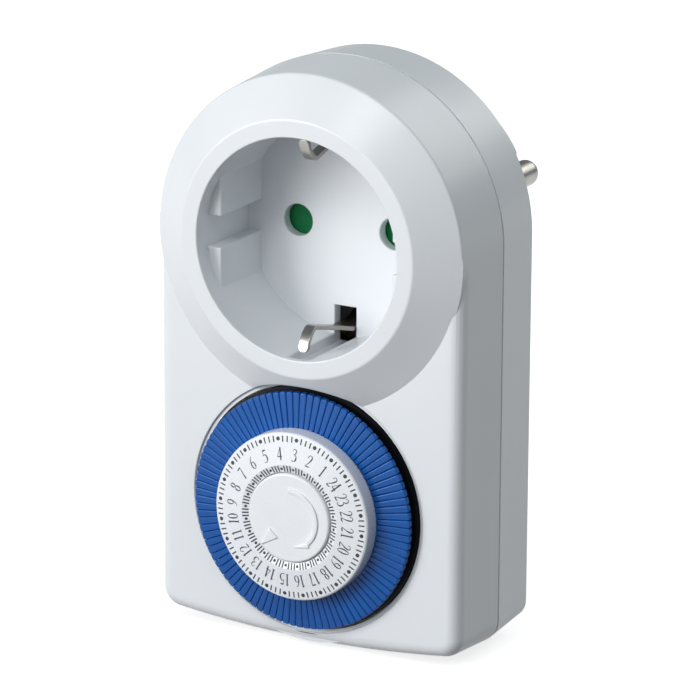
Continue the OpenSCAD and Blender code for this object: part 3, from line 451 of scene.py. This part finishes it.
for hour in range(1, 25):
    node = "segments_hour_%02d" % hour
    four = bmesh.new()
    for quarter in range(4):
        one = pad()
        bmesh.ops.rotate(one, cent=(0, 0, 0), verts=one.verts,
                         matrix=Matrix.Rotation(direction(hour, quarter), 3, "Z"))
        bmesh.ops.translate(one, vec=(0, DIAL_Y, 0), verts=one.verts)
        join(four, one)
    stand("blue_bars_%02d" % hour, four, BODY_OF[node], "segment_blue", [node], angle=45)


# ---- Number ring ----

# Radius and height of its rim, of the low crest round the cap's well, and of the well's edge
RING_R, RIM_H = 15.05, 51.0
CREST_R, CREST_H = 9.4, 51.75
WELL_R, WELL_H = 8.1, 51.35
HUB_R, WELL_FLOOR, RING_BACK, RING_WALL = 5.43, 50.4, 45.0, 1.2

ring = spun([
    (HUB_R, WELL_FLOOR, 0), (WELL_R, WELL_FLOOR, 0), (WELL_R, WELL_H, 0.1),
    (CREST_R, CREST_H, 0.6), (RING_R, RIM_H, 0.5), (RING_R, RING_BACK, 0),
    (RING_R - RING_WALL, RING_BACK, 0),
    (RING_R - RING_WALL, RIM_H - RING_WALL, 0), (WELL_R + RING_WALL, RIM_H - RING_WALL, 0),
    (WELL_R + RING_WALL, WELL_FLOOR - RING_WALL, 0), (HUB_R, WELL_FLOOR - RING_WALL, 0)])
stand("numbered_ring", ring, "dial", "dial_white", ["number_ring"])


def face_height(r):
    """Height of the ring's face at radius r: it rises from the well to the crest, then falls."""
    if r < CREST_R:
        return WELL_H + (CREST_H - WELL_H) * (r - WELL_R) / (CREST_R - WELL_R)
    return CREST_H + (RIM_H - CREST_H) * (r - CREST_R) / (RING_R - CREST_R)


# ---- Print on the ring ----

# The pen's stroke at its widest and at its finest, in heights of a numeral
THICK, THIN = 0.13, 0.045
HOOK = [(0.43, 0.96, .04), (0.27, 0.86, .06), (0.11, 0.60, .10), (0.06, 0.32, .12),
        (0.12, 0.10, .09), (0.25, 0.02, .045), (0.39, 0.10, .09), (0.44, 0.31, .11),
        (0.38, 0.50, .08), (0.25, 0.57, .045), (0.12, 0.48, .05)]


def loop(x, y, rx, ry):
    """A closed pen loop, thick at its sides and thin at top and bottom."""
    return [(x + rx * math.cos(a), y + ry * math.sin(a),
             THIN + (THICK - THIN) * math.cos(a) ** 2)
            for a in (math.radians(30 * k) for k in range(13))]


# Pen strokes of each numeral in a box 0.5 wide and 1 high, as (x, y, width of the stroke)
STROKES = {
    "0": [loop(0.25, 0.5, 0.19, 0.47)],
    "1": [[(0.27, 0, THICK), (0.27, 0.5, THICK), (0.27, 1, THICK)],
          [(0.12, 0.02, .04), (0.42, 0.02, .04)], [(0.11, 0.84, .04), (0.27, 0.97, .05)]],
    "2": [[(0.05, 0.74, .09), (0.10, 0.90, .05), (0.25, 0.97, .05), (0.41, 0.88, .09),
           (0.42, 0.70, THICK), (0.30, 0.42, .09), (0.12, 0.17, .05), (0.04, 0.05, .04)],
          [(0.03, 0.045, .09), (0.30, 0.05, .09), (0.47, 0.11, .04)]],
    "3": [[(0.06, 0.83, .06), (0.14, 0.94, .05), (0.27, 0.97, .05), (0.40, 0.87, .09),
           (0.39, 0.70, .10), (0.26, 0.57, .05), (0.18, 0.54, .04)],
          [(0.18, 0.54, .04), (0.33, 0.52, .05), (0.44, 0.38, .10), (0.42, 0.16, THICK),
           (0.26, 0.025, .05), (0.12, 0.03, .06), (0.04, 0.10, .09)]],
    "4": [[(0.36, 0, THICK), (0.36, 0.5, THICK), (0.36, 1, THICK)],
          [(0.35, 0.97, .04), (0.03, 0.30, .045)], [(0.02, 0.28, .07), (0.49, 0.28, .07)]],
    "5": [[(0.13, 0.93, THICK), (0.45, 0.95, .09)], [(0.13, 0.95, .045), (0.09, 0.55, .045)],
          [(0.09, 0.56, .045), (0.22, 0.62, .06), (0.38, 0.54, .09), (0.44, 0.34, THICK),
           (0.38, 0.13, .09), (0.22, 0.025, .05), (0.05, 0.05, .08)]],
    "6": [HOOK],
    "7": [[(0.05, 0.94, .10), (0.46, 0.94, .10)],
          [(0.45, 0.92, .05), (0.30, 0.50, .09), (0.19, 0.0, THICK)]],
    "8": [loop(0.25, 0.76, 0.155, 0.21), loop(0.25, 0.28, 0.19, 0.25)],
    "9": [[(0.5 - x, 1 - y, w) for x, y, w in HOOK]],
}

# Half the ink's thickness, and how much higher each further stroke of a digit lies
INK_T, LAYER = 0.02, 0.003
NUMERAL_H, NUMERAL_MID = 2.25, 11.4
# Width of a digit against its drawing, and the step between digits in numeral heights
SQUEEZE, DIGIT_STEP = 0.83, 0.455
# An outer and an inner ring of dots at the hours, as (radius where they stand, their radius)
DOTS, DOT_CORNERS = ((14.0, 0.36), (8.72, 0.25)), 12
# Two rings of ticks at the quarters, as (from radius, to radius), and half a tick's width
TICKS, TICK_HALF_W = ((13.45, 14.5), (8.2, 9.35)), 0.12


def smooth_path(points):
    """More points along a smooth curve through the given ones."""
    if len(points) < 3:
        return [Vector(p) for p in points]
    p = [Vector(q) for q in points]
    p = [p[0] * 2 - p[1]] + p + [p[-1] * 2 - p[-2]]
    out = []
    for a, b, c, d in zip(p, p[1:], p[2:], p[3:]):
        for k in range(CURVE_STEPS):
            t = k / CURVE_STEPS
            out.append(0.5 * (2 * b + (c - a) * t + (2 * a - 5 * b + 4 * c - d) * t ** 2
                              + (3 * b - 3 * c + d - a) * t ** 3))
    return out + [p[-2]]


def ribbon(bm, points, place, h):
    """Flat quads at height h along a stroke; place() puts each point of its drawing on the dial."""
    path = smooth_path(points)
    rows = []
    for i, p in enumerate(path):
        along = (path[min(i + 1, len(path) - 1)] - path[max(i - 1, 0)]).to_2d()
        side = Vector((-along.y, along.x)).normalized() * p.z / 2
        rows.append([bm.verts.new((*place(p.to_2d() + s), h)) for s in (side, -side)])
    return [bm.faces.new((a[0], a[1], b[1], b[0])) for a, b in zip(rows, rows[1:])]


def toward(angle):
    return Vector((math.cos(angle), math.sin(angle)))


def placer(hour, shift):
    """Gives the place() of a digit that stands at an hour, shift numeral heights to the right."""
    out = toward(direction(hour))
    side = Vector((out.y, -out.x))

    def place(p):
        return (out * (NUMERAL_MID + (p.y - 0.5) * NUMERAL_H)
                + side * ((p.x - 0.25) * SQUEEZE + shift) * NUMERAL_H)
    return place


def dial_print():
    """Hour numbers, dots and ticks in ink on the ring's sloping face."""
    bm = bmesh.new()
    faces = []
    for hour in range(1, 25):
        text = str(hour)
        for k, digit in enumerate(text):
            place = placer(hour, (k - (len(text) - 1) / 2) * DIGIT_STEP)
            for layer, stroke in enumerate(STROKES[digit]):
                faces += ribbon(bm, stroke, place, LAYER * layer)
        for radius, dot in DOTS:
            faces.append(flat_shape(bm, [
                toward(direction(hour)) * radius + dot * toward(math.tau * k / DOT_CORNERS)
                for k in range(DOT_CORNERS)]))
        for quarter in (1, 2, 3):
            along = toward(direction(hour, quarter))
            across = Vector((-along.y, along.x)) * TICK_HALF_W
            for r0, r1 in TICKS:
                faces.append(flat_shape(bm, [along * r0 - across, along * r1 - across,
                                             along * r1 + across, along * r0 + across]))
    thicken(bm, faces, 2 * INK_T)
    for v in bm.verts:
        v.co.z += face_height(math.hypot(v.co.x, v.co.y)) - INK_T
        v.co.y += DIAL_Y
    return bm


stand("dial_print", dial_print(), "dial", "carrier_black", material=INK)


# ---- Centre cap ----

CAP_R, CAP_TOP, CAP_T, CAP_ROUND = 7.95, 51.9, 1.4, 0.4
# The raised marks: their tops, how far they go into the cap, and their rounding
MARKS_TOP, MARKS_SINK, MARKS_ROUND = 52.2, 0.1, 0.13
POINTER = [(-3.66, -2.31), (-5.25, -5.48), (-2.07, -3.82)]
ARROW_SHAFT = [(0.03, 5.08, .8), (1.9, 4.65, .85), (3.45, 3.75, .9), (4.75, 2.3, .9),
               (5.33, 0.5, .9), (5.3, -1.2, .85), (4.75, -2.75, .8), (3.75, -4.0, .8)]
ARROW_HEAD = [(4.13, -4.71), (4.05, -3.75), (3.4, -4.1), (2.75, -4.35), (1.13, -5.05)]

cap = spun([(0, CAP_TOP - CAP_T, 0), (CAP_R, CAP_TOP - CAP_T, 0), (CAP_R, CAP_TOP, CAP_ROUND),
            (0, CAP_TOP, 0)])
marks = bmesh.new()
faces = [flat_shape(marks, POINTER)]
faces += ribbon(marks, ARROW_SHAFT, lambda p: p, 0)
faces.append(flat_shape(marks, ARROW_HEAD))
tops = thicken(marks, faces, MARKS_TOP - CAP_TOP + MARKS_SINK)
edges = {e for f in tops for e in f.edges if e.calc_face_angle(0) > 1}
bevel(marks, list(edges), MARKS_ROUND, segments=3)
bmesh.ops.translate(marks, vec=(0, DIAL_Y, CAP_TOP - MARKS_SINK), verts=marks.verts)
join(cap, marks)
stand("cap_with_marks", cap, "housing", "dial_white", ["centre_cap"], material=CAP_WHITE)


# ---- Materials on the solids that stay ----

for node, obj in nodes.items():
    for held in obj.material_slots:
        held.material = FINISHES[SLOT_OF[node]]


# ---- Floor and room ----

FLOOR_HALF = 4
# What the floor glows with where it is seen, so that the paper shows as white
PAPER_GLOW = 0.75
ROOM_TINT, ROOM_STRENGTH = "#ECFAFB", 0.265


def seen_by(tree, *rays):
    """A socket that is 1 for these kinds of ray and 0 for others."""
    path = add(tree, "LightPath")
    seen = path.outputs[rays[0]]
    for ray in rays[1:]:
        seen = add(tree, "Math", [(0, seen), (1, path.outputs[ray])],
                   operation="MAXIMUM").outputs[0]
    return seen


def stage_material():
    """Plain white paper: white where the camera, gloss or glass sees it, with the shadow kept."""
    mat, tree = new_material("paper white matt")
    seen = seen_by(tree, "Is Camera Ray", "Is Glossy Ray", "Is Transmission Ray")
    paper = add(tree, "BsdfDiffuse", Color=linear("#C8C8C8"))
    dark = add(tree, "BsdfDiffuse", Color=linear("#4A4A4A"))
    glow = add(tree, "Emission", Color=linear("#FFFFFF"), Strength=PAPER_GLOW)
    bright = add(tree, "AddShader", [(0, paper.outputs["BSDF"]), (1, glow.outputs["Emission"])])
    mix = add(tree, "MixShader", [(0, seen), (1, dark.outputs["BSDF"]),
                                  (2, bright.outputs["Shader"])])
    add(tree, "OutputMaterial", [("Surface", mix.outputs["Shader"])])
    return mat


floor_bm = bmesh.new()
bmesh.ops.create_grid(floor_bm, x_segments=1, y_segments=1, size=FLOOR_HALF)
bmesh.ops.translate(floor_bm, vec=(0, 0, cad_box[0][2]), verts=floor_bm.verts)
floor_mesh = mesh_of("floor", floor_bm)
floor_mesh.materials.append(stage_material())
floor = bpy.data.objects.new("floor", floor_mesh)
scene.collection.objects.link(floor)

world = bpy.data.worlds.new("studio")
scene.world = world
world.use_nodes = True
tree = world.node_tree
tree.nodes.clear()
seen = seen_by(tree, "Is Camera Ray", "Is Transmission Ray")
room = add(tree, "Background", Color=linear(ROOM_TINT), Strength=ROOM_STRENGTH)
white = add(tree, "Background", Color=linear("#FFFFFF"), Strength=1.0)
mix = add(tree, "MixShader", [(0, seen), (1, room.outputs[0]), (2, white.outputs[0])])
add(tree, "OutputWorld", [("Surface", mix.outputs[0])])


# ---- Lamps, in metres and watts ----

# The point that every lamp is aimed at, and how far from it they stand
LAMPS_AIM, LAMPS_AWAY = Vector((0, -0.035, -0.02)), 0.9


def lamp(name, azimuth, elevation, size, watts):
    """A square soft box aimed at the object, azimuth counted from the front to the right."""
    data = bpy.data.lights.new(name, "AREA")
    data.shape, data.size, data.energy = "SQUARE", size, watts
    a, e = math.radians(azimuth), math.radians(elevation)
    out = Vector((math.sin(a) * math.cos(e), -math.cos(a) * math.cos(e), math.sin(e)))
    lamp_object = bpy.data.objects.new(name, data)
    lamp_object.location = LAMPS_AIM + out * LAMPS_AWAY
    lamp_object.rotation_euler = out.to_track_quat("Z", "Y").to_euler()
    scene.collection.objects.link(lamp_object)


lamp("key_softbox_low", -35, 5, 0.55, 4.3)
lamp("key_softbox_high", -35, 20, 0.3, 2.4)
lamp("front_soft", -10, 10, 0.55, 1.3)
lamp("top_small", 0, 45, 0.22, 1.6)
lamp("right_fill", 65, 40, 0.55, 0.75)
lamp("back_rim", 157, 35, 0.55, 2.5)


# ---- Camera ----

CAM_PLACE = Vector((0.41680, -0.78038, 0.23040))
CAM_AZ, CAM_EL, CAM_ROLL = (math.radians(v) for v in (29.066, 16.425, 0.356))

camera = bpy.data.cameras.new("camera")
camera.lens = 264.63
camera.sensor_width = 36
camera.clip_start = 0.01
right = Vector((math.cos(CAM_AZ), math.sin(CAM_AZ), 0))
back = Vector((math.sin(CAM_AZ) * math.cos(CAM_EL), -math.cos(CAM_AZ) * math.cos(CAM_EL),
               math.sin(CAM_EL)))
up = back.cross(right)
c, s = math.cos(CAM_ROLL), math.sin(CAM_ROLL)
right, up = right * c + up * s, up * c - right * s
turned = Matrix((right, up, back)).transposed().to_4x4()
camera_object = bpy.data.objects.new("camera", camera)
camera_object.matrix_world = Matrix.Translation(CAM_PLACE) @ turned
scene.collection.objects.link(camera_object)
scene.camera = camera_object

scene.view_settings.view_transform = "Standard"
